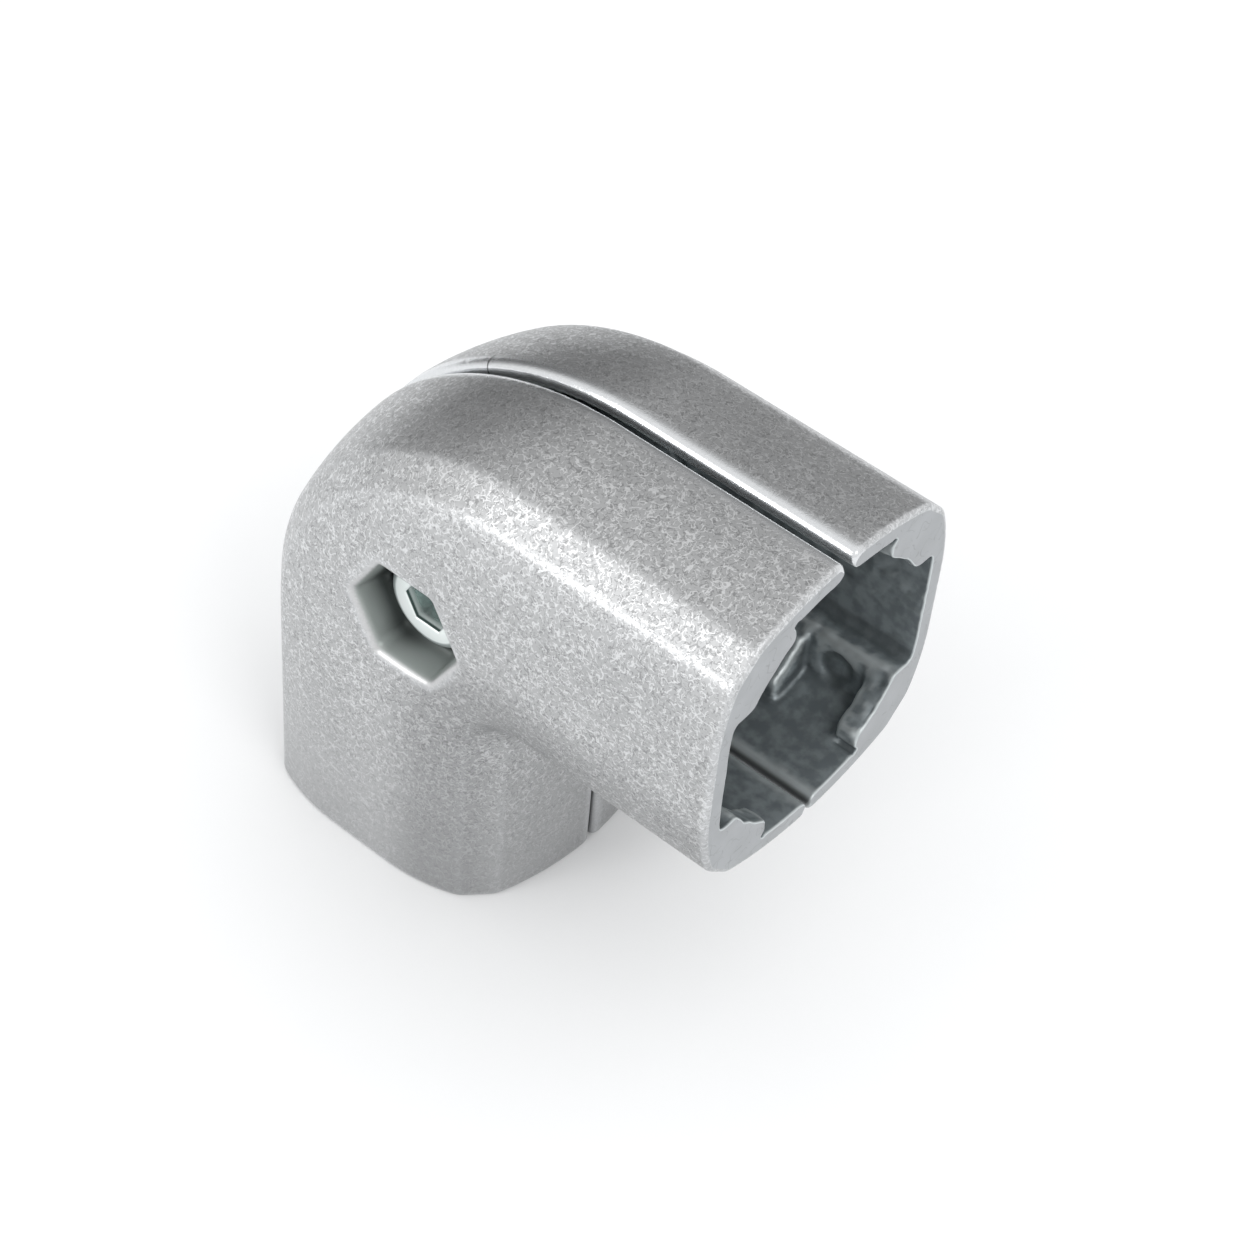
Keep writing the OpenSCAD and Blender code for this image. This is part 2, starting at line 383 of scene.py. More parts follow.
def roughen(piece):
    """Gives the lands and the walls inside the ragged skin that the die leaves."""
    mesh = piece.data
    co = points_of(mesh)
    normals = normals_of(mesh)
    _, _, depth = section_place(co)
    within = ramp(depth, *SKIN_DEPTHS) * ramp(from_screw_line(co), *CLEAR_OF_POCKET)
    near_bore = ramp(-np.abs(bore_gap(co)), -LAND_FAR, -LAND_NEAR)
    push = np.array([
        WAVE_HEIGHT * noise.noise(Vector(c) * WAVE_SCALE)
        + a * RAGGED_HEIGHT * noise.noise(Vector(c) * RAGGED_SCALE + RAGGED_SHIFT)
        for c, a in zip(co, near_bore)
    ])
    push *= within
    co += normals * (push * MM)[:, None]
    mesh.vertices.foreach_set("co", co.astype(np.float32).ravel())
    print(piece.name, "pushed by up to %.2f mm" % np.abs(push).max())


for shell in shells.values():
    roughen(shell)

# %% Saw and round the mouths
RIM_OUT_R = 0.55
RIM_IN_R = 0.15
RIM_CUTS = (0.04, 0.13, 0.27, 0.42, 0.56)


def cut_across(bm, at, way, back, drop_rest):
    """Cuts the mesh along a plane that lies back millimetres behind a mouth, and gives the cut's edges."""
    cut = bmesh.ops.bisect_plane(
        bm, geom=bm.verts[:] + bm.edges[:] + bm.faces[:], dist=0.0, plane_co=at - way * back * MM,
        plane_no=way, clear_outer=drop_rest,
    )["geom_cut"]
    return [part for part in cut if isinstance(part, bmesh.types.BMEdge)]


def round_rim(bm, at, way):
    """Draws the points near a mouth inwards, so that its edges are rounded: wide outside, narrow inside."""
    bm.normal_update()
    near = [v for v in bm.verts if -0.001 * MM <= (at - v.co).dot(way) < RIM_OUT_R * MM]
    _, _, depth = section_place(np.array([v.co for v in near]))
    moves = []
    for v, deep in zip(near, depth):
        back = max(0.0, (at - v.co).dot(way) / MM)
        radius = RIM_OUT_R + (RIM_IN_R - RIM_OUT_R) * float(ramp(deep, *SKIN_DEPTHS))
        drop = radius - math.sqrt(radius ** 2 - max(0.0, radius - back) ** 2)
        moves.append((v.normal - way * v.normal.dot(way)).normalized() * drop * MM)
    for v, move in zip(near, moves):
        v.co -= move


def saw_mouths(piece):
    """Cuts both ends back to their true planes, rounds their edges and closes them with flat faces."""
    bm = bmesh.new()
    bm.from_mesh(piece.data)
    for at, way in MOUTHS:
        for back in RIM_CUTS:
            cut_across(bm, at, way, back, False)
        rim = cut_across(bm, at, way, 0.0, True)
        round_rim(bm, at, way)
        made = bmesh.ops.triangle_fill(bm, edges=rim, use_beauty=True, normal=way)["geom"]
        for face in made:
            if isinstance(face, bmesh.types.BMFace):
                face.smooth = False
                face.material_index = 1
                if face.normal.dot(way) < 0:
                    face.normal_flip()
        for edge in rim:
            edge.smooth = False
    open_edges = sum(not edge.is_manifold for edge in bm.edges)
    bm.to_mesh(piece.data)
    bm.free()
    print(piece.name, len(piece.data.polygons), "faces,", open_edges, "open edges")


for shell in shells.values():
    saw_mouths(shell)

# %% [markdown]
# ## Where the skin changes
# The tumbled skin is only on the outside. The crook between the arms gets painted shade, the pocket's walls
# are dull and get painted shade, darkest at their foot and on the left wall, the pocket's edge is rubbed, and
# the inside keeps its dark cast skin. Edges that stand proud are rubbed brighter, and sunken corners inside
# get painted shade. Each of these becomes a number from 0 to 1 on the mesh's points. What is proud or sunken
# comes from how far a point stands out of the mesh round it, and all else from where it lies in the section.

# %% Measure what stands proud
BULGE_ROUNDS = 12
PROUD = (0.015, 0.09)
SUNK = (0.01, 0.08)


def keep_mask(mesh, name, values):
    attribute = mesh.attributes.get(name) or mesh.attributes.new(name, "FLOAT", "POINT")
    attribute.data.foreach_set("value", np.asarray(values, np.float32))


def bulge(mesh):
    """How far each point stands proud of its neighbourhood, in millimetres: above 0 on edges."""
    co = points_of(mesh)
    pairs = np.empty(len(mesh.edges) * 2, np.int32)
    mesh.edges.foreach_get("vertices", pairs)
    a, b = pairs.reshape(-1, 2).T
    count = np.bincount(a, minlength=len(co)) + np.bincount(b, minlength=len(co))
    soft = co.copy()
    for _ in range(BULGE_ROUNDS):
        total = np.zeros_like(soft)
        for axis in range(3):
            total[:, axis] = np.bincount(a, soft[b, axis], len(co)) + np.bincount(b, soft[a, axis], len(co))
        soft = 0.5 * soft + 0.5 * total / count[:, None]
    return ((co - soft) * normals_of(mesh)).sum(1) / MM


for shell in shells.values():
    standing = bulge(shell.data)
    keep_mask(shell.data, "proud", ramp(standing, *PROUD))
    # sunken places get painted shade
    keep_mask(shell.data, "sunk_shade", ramp(-standing, *SUNK))
    print(shell.name, "stands out by up to %.2f mm" % standing.max())

# %% Mark the pocket, its edge, the crook and the inside
POCKET_REACH = 7.0
POCKET_FADE = 0.5
POCKET_UNDER = (0.25, 0.7)
POCKET_FLOOR_V = (SEAT - 0.5, SEAT - 0.2)
GAP_V = (1.7, 2.5)
GAP_DEEPER = 0.8
INSIDE_UNDER = (0.5, 0.9)
# CROOK_U and CROOK_BACK_U shape the painted shade in the crook between the arms
CROOK_U = (2.0, 9.0)
CROOK_BACK_U = (12.5, 15.5)
CROOK_BACK_LOSS = 0.6
EDGE_FROM = (-0.15, 0.05)
EDGE_TO = (0.45, 0.7)
EDGE_UNDER = (0.5, 0.8)
FOOT_UNDER = (0.8, 3.8)
LEFT_WALL = (-2.5, 2.5)
LEFT_WALL_SHARE = 0.6


def from_pocket_wall(co, turned):
    """How far points lie outside the pocket's hexagon, which is turned by a right angle in the far half."""
    across_x = np.abs(co[:, 0] / MM - SCREW_AT[0])
    across_z = np.abs(co[:, 2] / MM - SCREW_AT[2])
    if turned:
        across_x, across_z = across_z, across_x
    return np.maximum(across_z, math.sin(math.pi / 3) * across_x + 0.5 * across_z) - POCKET_R


def mark_zones(piece, turned):
    """Keeps a mask for each zone on the piece's points."""
    mesh = piece.data
    co = points_of(mesh)
    u, v, depth = section_place(co)
    in_pocket = ramp(-from_screw_line(co), -POCKET_REACH, POCKET_FADE - POCKET_REACH)
    pocket = in_pocket * ramp(depth, *POCKET_UNDER) * ramp(v, *POCKET_FLOOR_V)
    near_gap = (1 - ramp(v, *GAP_V)) * (u > 0)
    inside = ramp(depth - GAP_DEEPER * near_gap, *INSIDE_UNDER) * (1 - pocket)
    # crook: painted shade in the crook between the arms, weaker towards the chamfer at the back
    crook = ramp(-u, *CROOK_U) * (1 - CROOK_BACK_LOSS * ramp(-u, *CROOK_BACK_U))
    off_wall = from_pocket_wall(co, turned)
    edge = ramp(off_wall, *EDGE_FROM) * (1 - ramp(off_wall, *EDGE_TO)) * (1 - ramp(depth, *EDGE_UNDER))
    # painted shade at the foot of the pocket's walls, stronger on the left wall, which lies in shadow
    left_wall = ramp(SCREW_AT[0] - co[:, 0] / MM, *LEFT_WALL)
    foot = pocket * ramp(depth, *FOOT_UNDER) * (1 - LEFT_WALL_SHARE + LEFT_WALL_SHARE * left_wall)
    keep_mask(mesh, "crook", crook)
    keep_mask(mesh, "pocket", pocket)
    keep_mask(mesh, "pocket_rim", edge)
    keep_mask(mesh, "pocket_shade", foot)
    keep_mask(mesh, "inside", inside)
    print(piece.name, "inside %.2f pocket %.3f" % (inside.mean(), pocket.mean()))


mark_zones(shells["near_shell"], False)
mark_zones(shells["far_shell"], True)

# %% [markdown]
# ## The screw and the nut
# The thread is a ring's radius that rises and falls once per turn, so that a row of rings makes a real helix.
# The head's edge is a quarter of a circle, and its key socket goes down from a small bevel. The screw's tip
# ends level with the nut, whose corners are cut back by a shallow cone on both faces.

# %% Describe the thread
THREAD_ROOT_R = 2.42
THREAD_FLAT = 0.2
THREAD_FROM = -SEAT + 1.0
THREAD_FADE = 0.5
TIP_AT = SCREW_LEN - SEAT
ROWS_PER_TURN = 10


def thread_radii(along):
    """The thread's radii on the ring at this place, for a right-hand thread with flat crests and roots."""
    phase = np.mod(along / PITCH - TURN / (2 * math.pi), 1.0)
    rise = np.clip((np.abs(2 * phase - 1) - THREAD_FLAT) / (1 - 2 * THREAD_FLAT), 0, 1)
    fade = min(1.0, (along - THREAD_FROM) / THREAD_FADE)
    return SCREW_R - (SCREW_R - THREAD_ROOT_R) * (1 - rise) * fade


print("thread from %.1f to %.1f mm" % (THREAD_FROM, TIP_AT))

# %% Build the screw
HEAD_AT = -SEAT - HEAD_H
HEAD_EDGE_R = 0.9
HEAD_EDGE_ROWS = 6
HEAD_FOOT = 0.25
HEAD_FOOT_IN = 0.2
SOCKET_RIM = 0.12
SOCKET_DIP_R = 0.15
SOCKET_DIP = 0.35
NECK_OUT = 0.04
NECK_LEN = 0.1
TIP_BEVEL = 0.5
TIP_BEVEL_R = 2.5
TIP_EDGE = 0.05
TIP_EDGE_IN = 0.1

key_hex = hexagon(KEY_AF, math.pi / 6)
screw_rings = [
    (SOCKET_DIP_R, HEAD_AT + KEY_DEPTH + SOCKET_DIP),
    (key_hex, HEAD_AT + KEY_DEPTH),
    (key_hex, HEAD_AT + SOCKET_RIM),
    (key_hex + SOCKET_RIM, HEAD_AT),
]
for row in range(HEAD_EDGE_ROWS + 1):
    turn = row / HEAD_EDGE_ROWS * math.pi / 2
    screw_rings.append((
        HEAD_R - HEAD_EDGE_R + HEAD_EDGE_R * math.sin(turn),
        HEAD_AT + HEAD_EDGE_R - HEAD_EDGE_R * math.cos(turn),
    ))
screw_rings += [
    (HEAD_R, -SEAT - HEAD_FOOT), (HEAD_R - HEAD_FOOT_IN, -SEAT),
    (SCREW_R + NECK_OUT, -SEAT), (SCREW_R, -SEAT + NECK_LEN),
]
thread_rows = round((TIP_AT - TIP_BEVEL - THREAD_FROM) / PITCH * ROWS_PER_TURN)
for row in range(thread_rows + 1):
    along = THREAD_FROM + row * PITCH / ROWS_PER_TURN
    screw_rings.append((thread_radii(along), along))
screw_rings += [
    (np.minimum(thread_radii(TIP_AT), TIP_BEVEL_R), TIP_AT - TIP_EDGE),
    (THREAD_ROOT_R - TIP_EDGE_IN, TIP_AT),
]
screw = build_from_rings("cap_screw", screw_rings, False)

# %% Build the nut
NUT_AF = 10.0
NUT_FACE_R = 4.75
NUT_HOLE_R = 3.0
NUT_BEVEL = 0.4
NUT_CONE = math.pi / 6

nut_low, nut_high = SEAT, SCREW_LEN - SEAT
nut_hex = hexagon(NUT_AF, 0.0)
nut_rise = (nut_hex - NUT_FACE_R) * math.tan(NUT_CONE)
nut = build_from_rings("nut", [
    (NUT_HOLE_R, nut_low + NUT_BEVEL), (NUT_HOLE_R + NUT_BEVEL, nut_low),
    (NUT_FACE_R, nut_low), (nut_hex, nut_low + nut_rise),
    (nut_hex, nut_high - nut_rise), (NUT_FACE_R, nut_high),
    (NUT_HOLE_R + NUT_BEVEL, nut_high), (NUT_HOLE_R, nut_high - NUT_BEVEL),
], True)

# %% [markdown]
# ## Node helpers
# Every material here is a short list of nodes and links. These helpers add a node, set its plain values and
# link its inputs, so that the lists below read like a recipe. A mask is a number from 0 to 1 everywhere on a
# surface, and a colour is laid over another as strongly as its mask says.

# %% Helpers for nodes and numbers
def fill(node, inputs):
    """Sets a node's inputs: each key is a socket's name or number, each value plain or a node's output."""
    for key, value in dict(inputs).items():
        if isinstance(value, bpy.types.NodeSocket):
            node.id_data.links.new(value, node.inputs[key])
        else:
            node.inputs[key].default_value = value
    return node


def add(tree, kind, inputs=(), **settings):
    """Adds a node with its settings and its inputs."""
    node = tree.nodes.new(kind)
    for key, value in settings.items():
        setattr(node, key, value)
    return fill(node, inputs)


def maths(tree, operation, *values):
    return add(tree, "ShaderNodeMath", dict(enumerate(values)), operation=operation).outputs[0]


def times(tree, a, b):
    return maths(tree, "MULTIPLY", a, b)


def opposite(tree, value):
    """1 where the value is 0, and 0 where it is 1."""
    return maths(tree, "SUBTRACT", 1.0, value)


def vector_maths(tree, operation, *values, output="Vector"):
    return add(tree, "ShaderNodeVectorMath", dict(enumerate(values)), operation=operation).outputs[output]


def smooth_step(tree, value, low, high):
    """A smooth ramp from 0 at low to 1 at high."""
    return add(
        tree, "ShaderNodeMapRange",
        {"Value": value, "From Min": low, "From Max": high, "To Min": 0.0, "To Max": 1.0},
        interpolation_type="SMOOTHSTEP",
    ).outputs["Result"]


def fade_out(tree, value, low, high):
    """A smooth fall from 1 at low to 0 at high."""
    return opposite(tree, smooth_step(tree, value, low, high))


def weighed(tree, start, *terms):
    """A start value plus each term's value times its weight."""
    for value, weight in terms:
        start = maths(tree, "ADD", start, times(tree, value, weight))
    return start


print("a mask goes from 0 to 1")

# %% Helpers for patterns, colours and materials
def noise_of(tree, place, scale, detail):
    return add(
        tree, "ShaderNodeTexNoise", {"Vector": place, "Scale": scale, "Detail": detail}
    ).outputs["Fac"]


def mix_colour(tree, share, a, b):
    node = add(tree, "ShaderNodeMix", data_type="RGBA")
    return fill(node, {0: share, 6: a, 7: b}).outputs[2]


def lay_over(tree, base, *layers):
    """Lays colours over a base, one after another: each layer is a mask, its strength and its colour."""
    for mask, strength, colour in layers:
        base = mix_colour(tree, times(tree, mask, strength), base, colour)
    return base


def grey(level, blue=0.0):
    """A grey as a colour, leaning to blue."""
    return (level * (1 - blue), level, level * (1 + blue), 1.0)


def new_material(name):
    material = bpy.data.materials.new(name)
    material.use_nodes = True
    tree = material.node_tree
    tree.nodes.clear()
    return material, tree, add(tree, "ShaderNodeTexCoord").outputs["Object"]


def finish_material(tree, inputs):
    """Ends a material with a shader that has these inputs."""
    shader = add(tree, "ShaderNodeBsdfPrincipled", inputs)
    add(tree, "ShaderNodeOutputMaterial", {"Surface": shader.outputs[0]})


print("a grey that leans to blue:", grey(0.5, 0.03))

# %% [markdown]
# ## Tumbling marks
# The stones leave thousands of short curved strokes, about a millimetre long, bright where they press the
# metal flat. Where a soft 3-D noise passes through one value, it draws thin winding lines, and a second noise
# breaks them into strokes. Three sets of different sizes lie over one another. The pattern works on any
# surface without a seam, and its strokes keep one size everywhere.

# %% The stroke pattern as a group
STROKE_SETS = ((1.0, 0.0), (1.31, 0.37), (0.77, 0.71))
LINE_CORE = 0.3
BREAK_SCALE = 1.15
BREAK_FADE = 0.04

strokes = bpy.data.node_groups.new("tumbling_strokes", "ShaderNodeTree")
for key, value in (("Scale", 900.0), ("Width", 0.02), ("Share", 0.5)):
    strokes.interface.new_socket(key, in_out="INPUT", socket_type="NodeSocketFloat").default_value = value
strokes.interface.new_socket("Strokes", in_out="OUTPUT", socket_type="NodeSocketFloat")
asked = strokes.nodes.new("NodeGroupInput").outputs
place = add(strokes, "ShaderNodeTexCoord").outputs["Object"]
sets = []
for size, shift in STROKE_SETS:
    moved = vector_maths(strokes, "ADD", place, (shift, shift * 0.5, -shift))
    scale = times(strokes, asked["Scale"], size)
    wave = add(
        strokes, "ShaderNodeTexNoise", {"Vector": moved, "Scale": scale, "Detail": 0.6, "Roughness": 0.5}
    ).outputs["Fac"]
    off_line = maths(strokes, "ABSOLUTE", maths(strokes, "SUBTRACT", wave, 0.5))
    line = fade_out(strokes, off_line, times(strokes, asked["Width"], LINE_CORE), asked["Width"])
    breaks = noise_of(strokes, moved, scale=times(strokes, scale, BREAK_SCALE), detail=0.0)
    low = opposite(strokes, asked["Share"])
    shown = smooth_step(strokes, breaks, low, maths(strokes, "ADD", low, BREAK_FADE))
    sets.append(times(strokes, line, shown))
best = maths(strokes, "MAXIMUM", maths(strokes, "MAXIMUM", sets[0], sets[1]), sets[2])
add(strokes, "NodeGroupOutput", {"Strokes": best})


def strokes_of(tree, scale, width, share):
    node = add(tree, "ShaderNodeGroup", node_tree=strokes)
    return fill(node, {"Scale": scale, "Width": width, "Share": share}).outputs["Strokes"]


print("group", strokes.name, len(strokes.nodes), "nodes")

# %% [markdown]
# ## The casting's skin
# Bare cast metal is one colour everywhere, and much of what differs is how it was rubbed. A stroke is
# brighter and smoother than the skin round it, and the hollow beside it gets painted shade. The lips along
# the gap are burnished and the inside is dark and dull. The faces along the gap, the crook between the arms
# and a notch across the far lip get painted shade, and the mouths' edges get a painted highlight. Strokes get
# rarer towards the foot. The colours are laid over one another, each with its mask, so the later ones cover
# the earlier.

# %% Masks of the casting
BEND_CENTRE = Vector((16.8, 0.0, 25.6))
NICK_WAY = Vector((0.857, 0.0, 0.515))
NICK_SPAN = (0.05 * MM, 0.14 * MM)
LIP_Y = 1.2 * MM
LIP_HALF = 1.0 * MM
LIP_SPAN = (1.3 * MM, 2.3 * MM)
GROOVE_SPAN = (0.25 * MM, 0.65 * MM)
GROOVE_LOSS = 0.7
CROOK_SIDE = (0.0, 0.3)
MOUTH_SPAN = (0.3 * MM, 0.8 * MM)

casting, tree, place = new_material("tumbled_casting")
inside, pocket, pocket_shade, pocket_rim, proud, sunk_shade, crook = (
    add(tree, "ShaderNodeAttribute", attribute_name=name).outputs["Fac"]
    for name in ("inside", "pocket", "pocket_shade", "pocket_rim", "proud", "sunk_shade", "crook")
)
axes = add(tree, "ShaderNodeSeparateXYZ", {0: place}).outputs
off_plane = maths(tree, "ABSOLUTE", axes["Y"])
outside = opposite(tree, inside)
crook_side = smooth_step(tree, crook, *CROOK_SIDE)
to_mouth = maths(tree, "MINIMUM", maths(tree, "SUBTRACT", REACH * MM, axes["X"]), axes["Z"])
# a band along the mouths' edges, which gets a painted highlight
rim = fade_out(tree, to_mouth, *MOUTH_SPAN)
lip = times(tree, fade_out(tree, off_plane, *LIP_SPAN), outside)
lip = times(tree, lip, opposite(tree, crook_side))
# painted shade along the gap between the halves, weaker on the crook side outside
gap_shade = times(tree, fade_out(tree, off_plane, *GROOVE_SPAN), opposite(
    tree, times(tree, times(tree, crook_side, outside), GROOVE_LOSS)
))
# a thin dark line across the far lip: painted shade standing for a notch
from_bend = vector_maths(tree, "SUBTRACT", place, BEND_CENTRE * MM)
along = vector_maths(tree, "DOT_PRODUCT", from_bend, NICK_WAY, output="Value")
nick_shade = fade_out(tree, maths(tree, "ABSOLUTE", along), *NICK_SPAN)
off_lip = maths(tree, "ABSOLUTE", maths(tree, "SUBTRACT", axes["Y"], LIP_Y))
nick_shade = times(tree, nick_shade, maths(tree, "LESS_THAN", off_lip, LIP_HALF))
nick_shade = times(tree, nick_shade, maths(tree, "GREATER_THAN", axes["Z"], REACH * MM))
print("material", casting.name, len(tree.nodes), "nodes for masks")

# %% Colours and finish of the casting
DULL_DARK = (0.24, 0.27, 0.285, 1.0)
DULL_PALE = (0.37, 0.41, 0.425, 1.0)
DULL_SHADE = (0.10, 0.115, 0.12, 1.0)
DULL_WORN = (0.64, 0.68, 0.68, 1.0)
POCKET_GREY = (0.32, 0.35, 0.335, 1.0)
POCKET_SHADE = (0.03, 0.036, 0.034, 1.0)
EDGE_BARE = 0.55
FOOT_Z = (4 * MM, 24 * MM)
FOOT_COVER = 0.35

rubbed = times(tree, maths(tree, "MAXIMUM", lip, pocket_rim), EDGE_BARE)
covered = opposite(tree, maths(tree, "MAXIMUM", maths(tree, "MAXIMUM", inside, rubbed), pocket))
cover = times(tree, covered, add(
    tree, "ShaderNodeMapRange",
    {"Value": axes["Z"], "From Min": FOOT_Z[0], "From Max": FOOT_Z[1], "To Min": FOOT_COVER, "To Max": 1.0},
).outputs["Result"])
marks = times(tree, strokes_of(tree, scale=1500.0, width=0.045, share=0.48), cover)
# each dent sinks as a bump, and its darker colour is painted shade in the hollow
dents_and_shade = times(tree, strokes_of(tree, scale=1800.0, width=0.042, share=0.48), cover)
clouds = noise_of(tree, place, scale=140.0, detail=3.0)
grain = noise_of(tree, place, scale=3200.0, detail=2.0)
mottled = smooth_step(tree, noise_of(tree, place, scale=700.0, detail=4.0), 0.36, 0.66)

# Inside, sunken corners get painted shade and proud edges are rubbed brighter.
dull = lay_over(
    tree, mix_colour(tree, mottled, DULL_DARK, DULL_PALE), (sunk_shade, 0.6, DULL_SHADE), (proud, 0.75, DULL_WORN)
)
base = lay_over(
    tree, mix_colour(tree, clouds, grey(0.375, 0.01), grey(0.465, 0.01)),
    (grain, 0.4, grey(0.58, 0.01)),
    # painted shade in the tumbling dents
    (dents_and_shade, 0.48, grey(0.14, 0.01)),
    (marks, 0.45, grey(0.92, 0.01)),
    # painted shade in the crook between the arms
    (crook, 0.3, grey(0.10, 0.02)),
    # proud edges are rubbed brighter as wear, and the band along the mouths' edges is a painted highlight
    (maths(tree, "MAXIMUM", proud, rim), 0.3, grey(0.74, 0.02)),
    (lip, 0.6, grey(0.82, 0.02)),
    (pocket_rim, 0.6, grey(0.58)),
    (inside, 0.97, dull),
    # painted shade of a notch across the far lip
    (nick_shade, 0.85, grey(0.08)),
    # painted shade along the gap between the halves
    (gap_shade, 0.8, grey(0.07, 0.02)),
    (pocket, 0.9, POCKET_GREY),
    # painted shade at the foot of the pocket's walls
    (pocket_shade, 0.92, POCKET_SHADE),
)
rough = weighed(tree, 0.36, (clouds, 0.10), (lip, -0.22), (marks, -0.10))
height = weighed(tree, 0.0, (grain, 0.5), (marks, 0.6), (dents_and_shade, -0.8))
bumped = add(tree, "ShaderNodeBump", {"Height": height, "Strength": 0.18, "Distance": 0.05 * MM}).outputs[0]
metal = weighed(tree, 0.85, (inside, -0.2), (pocket, -0.45))
finish_material(tree, {"Base Color": base, "Metallic": metal, "Roughness": rough, "Normal": bumped})
print("material", casting.name, len(tree.nodes), "nodes")

# %% [markdown]
# The mouths' flat ends were sawn after the tumbling, so they are plainer and a little bluer. A few thin
# scratches cross them.

# %% The sawn ends' material
sawn, tree, place = new_material("sawn_casting")
clouds = noise_of(tree, place, scale=260.0, detail=4.0)
scuffs = strokes_of(tree, scale=500.0, width=0.012, share=0.45)
base = lay_over(
    tree, mix_colour(tree, clouds, grey(0.34, 0.03), grey(0.50, 0.03)), (scuffs, 0.4, grey(0.22, 0.02))
)
rough = weighed(tree, 0.38, (clouds, 0.14))
bumped = add(tree, "ShaderNodeBump", {"Height": clouds, "Strength": 0.25, "Distance": 0.08 * MM}).outputs[0]
finish_material(tree, {"Base Color": base, "Metallic": 0.85, "Roughness": rough, "Normal": bumped})

for node, body in (("near_shell", "near_half"), ("far_shell", "far_half")):
    shells[node].data.materials.append(casting)
    shells[node].data.materials.append(sawn)
    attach(shells[node], body)
    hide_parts(node)
print("material", sawn.name, len(tree.nodes), "nodes")

# %% [markdown]
# ## Plated steel
# The screw and the nut are zinc plated: bright, smooth and a little green. A line under the key socket's
# edge, the socket's floor and a ring round the head, where the plating meets the light edge on, get painted
# shade.
# The front of the head looks more like pale enamel than like a mirror, so it is less
# metallic than the rest.

# %% The screw's and nut's material
PLATED = ((0.88, 0.96, 0.945, 1.0), (0.98, 1.0, 0.995, 1.0))
PLATED_SHADE = (0.05, 0.10, 0.09, 1.0)
PLATED_RING_SHADE = (0.20, 0.24, 0.24, 1.0)
HEAD_LEN = (HEAD_H - 0.5) * MM
SOCKET_REACH = 3.1 * MM
RIM_SHADE_FROM = (0.08 * MM, 0.14 * MM)
RIM_SHADE_TO = (0.35 * MM, 0.55 * MM)
FLOOR_SHADE = ((KEY_DEPTH - 0.8) * MM, KEY_DEPTH * MM)
HEAD_RING = (4.0 * MM, 4.3 * MM)
FRONT_DEPTH = (0.6 * MM, 1.2 * MM)

plated, tree, place = new_material("zinc_plated_steel")
clouds = noise_of(tree, place, scale=500.0, detail=3.0)
from_line = vector_maths(tree, "SUBTRACT", place, SCREW_AT * MM)
off_line = vector_maths(tree, "MULTIPLY", from_line, Vector((1, 0, 1)))
radius = vector_maths(tree, "LENGTH", off_line, output="Value")
past_face = maths(tree, "SUBTRACT", add(tree, "ShaderNodeSeparateXYZ", {0: place}).outputs["Y"], HEAD_AT * MM)
in_head = maths(tree, "LESS_THAN", past_face, HEAD_LEN)
in_socket = times(tree, maths(tree, "LESS_THAN", radius, SOCKET_REACH), in_head)
# painted shade under the key socket's edge and on the socket's floor
socket_rim_shade = times(
    tree, smooth_step(tree, past_face, *RIM_SHADE_FROM), fade_out(tree, past_face, *RIM_SHADE_TO)
)
socket_floor_shade = smooth_step(tree, past_face, *FLOOR_SHADE)
# painted shade on a ring round the head
head_ring_shade = times(tree, smooth_step(tree, radius, *HEAD_RING), in_head)
base = lay_over(
    tree, mix_colour(tree, clouds, *PLATED),
    (times(tree, in_socket, maths(tree, "MAXIMUM", socket_rim_shade, socket_floor_shade)), 0.92, PLATED_SHADE),
    (head_ring_shade, 0.75, PLATED_RING_SHADE),
)
rough = weighed(tree, 0.14, (clouds, 0.18))
metal = weighed(tree, 0.85, (fade_out(tree, past_face, *FRONT_DEPTH), -0.6))
finish_material(tree, {"Base Color": base, "Metallic": metal, "Roughness": rough})

for piece, body, node in ((screw, "screw", "clamp_screw"), (nut, "far_half", "hex_nut")):
    piece.data.materials.append(plated)
    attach(piece, body)
    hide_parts(node)
print("material", plated.name, len(tree.nodes), "nodes")

# %% [markdown]
# ## Floor and background
# The photograph shows the connector on white, with a soft grey shadow round its foot. The floor is pale and
# matt. A little glow, seen only by the camera and in reflections, lifts it to white. For the same rays the
# floor is darker where the connector shelters it, which deepens the shadow at the foot and in the crook.

# %% Make the floor
FLOOR_HALF = 3.0
FLOOR_LEVEL = 0.92
FLOOR_GLOW = 0.04
SHADE_REACH = 0.05
SHADE_SHARE = 0.38
SHADE_LEVEL = 0.35

floor_mesh = bpy.data.meshes.new("floor")
bm = bmesh.new()
bmesh.ops.create_grid(bm, x_segments=1, y_segments=1, size=FLOOR_HALF)
bm.to_mesh(floor_mesh)
bm.free()
floor = bpy.data.objects.new("floor", floor_mesh)
bpy.context.scene.collection.objects.link(floor)


def seen_rays(tree):
    """1 for the rays that show the background: the camera's own, and those that metal reflects."""
    path = add(tree, "ShaderNodeLightPath").outputs
    glossy = maths(tree, "MAXIMUM", path["Is Glossy Ray"], path["Is Transmission Ray"])
    return maths(tree, "MAXIMUM", path["Is Camera Ray"], glossy)


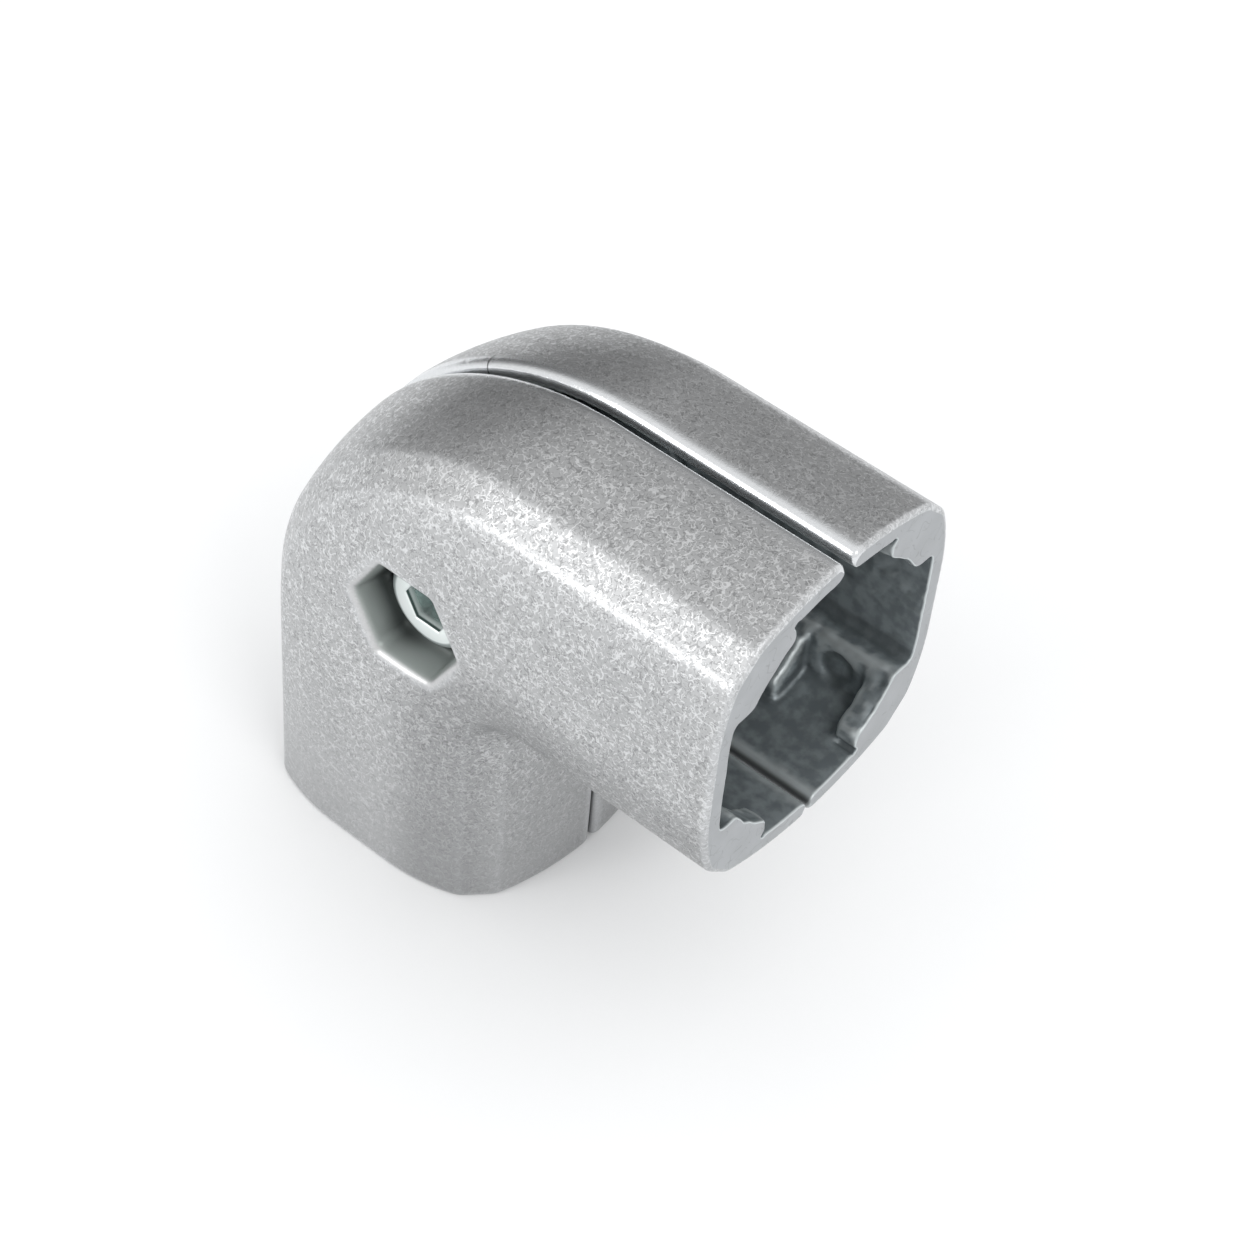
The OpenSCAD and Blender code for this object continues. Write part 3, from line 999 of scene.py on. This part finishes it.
pale, tree, _ = new_material("pale_floor")
matt = add(tree, "ShaderNodeBsdfDiffuse", {"Color": grey(FLOOR_LEVEL)})
openness = add(tree, "ShaderNodeAmbientOcclusion", {"Distance": SHADE_REACH}, samples=8).outputs["AO"]
shaded = lay_over(
    tree, grey(FLOOR_LEVEL), (opposite(tree, openness), SHADE_SHARE, grey(SHADE_LEVEL))
)
sheltered = add(tree, "ShaderNodeBsdfDiffuse", {"Color": shaded})
glow = add(tree, "ShaderNodeEmission", {"Color": grey(1.0), "Strength": FLOOR_GLOW})
seen = add(tree, "ShaderNodeAddShader", {0: sheltered.outputs[0], 1: glow.outputs[0]})
lift = add(tree, "ShaderNodeMixShader", {0: seen_rays(tree), 1: matt.outputs[0], 2: seen.outputs[0]})
add(tree, "ShaderNodeOutputMaterial", {"Surface": lift.outputs[0]})
floor.data.materials.append(pale)
print("floor", 2 * FLOOR_HALF, "m wide")

# %% [markdown]
# ## Light
# The room is white all round. Metal shows what it reflects, and the photograph's tops are darker than its
# sides, so reflections towards the back left fall off to a dark grey that the camera itself never sees. A
# lamp low at the front left draws the bright band along the chamfer. A weaker one above it lights the sides,
# and one at the right lights the mouth.

# %% Light the studio
DARK_SIDE = Vector((-0.80, 0.58, 0.15)).normalized()
DARK_FROM = 0.48
DARK_LEVEL = 0.04
LAMP_TARGET = Vector((0.012, 0.0, 0.03))
LAMP_DISTANCE = 0.9

world = bpy.data.worlds.new("studio")
bpy.context.scene.world = world
world.use_nodes = True
tree = world.node_tree
tree.nodes.clear()
way = add(tree, "ShaderNodeTexCoord").outputs["Generated"]
facing = vector_maths(tree, "DOT_PRODUCT", way, DARK_SIDE, output="Value")
shade = smooth_step(tree, facing, DARK_FROM, 1.0)
not_camera = opposite(tree, add(tree, "ShaderNodeLightPath").outputs["Is Camera Ray"])
tone = mix_colour(tree, times(tree, shade, not_camera), grey(1.0), grey(DARK_LEVEL))
room = add(tree, "ShaderNodeBackground", {"Color": grey(1.0, 0.01), "Strength": 1.0})
white = add(tree, "ShaderNodeBackground", {"Color": tone, "Strength": 1.0})
both = add(tree, "ShaderNodeMixShader", {0: seen_rays(tree), 1: room.outputs[0], 2: white.outputs[0]})
add(tree, "ShaderNodeOutputWorld", {"Surface": both.outputs[0]})


def add_light(name, direction, size, power):
    """A square soft light, placed in a direction from the connector and facing it."""
    data = bpy.data.lights.new(name, "AREA")
    data.size = size
    data.energy = power
    light = bpy.data.objects.new(name, data)
    way = Vector(direction).normalized()
    light.location = LAMP_TARGET + way * LAMP_DISTANCE
    light.rotation_mode = "QUATERNION"
    light.rotation_quaternion = way.to_track_quat("Z", "Y")
    bpy.context.scene.collection.objects.link(light)
    print(name, "%.1f W" % power)


add_light("low_front_left", (-0.40, -0.87, 0.27), 0.22, 1.4)
add_light("high_front_left", (-0.40, -0.70, 0.59), 0.35, 0.6)
add_light("right", (0.66, -0.27, 0.70), 0.35, 1.2)
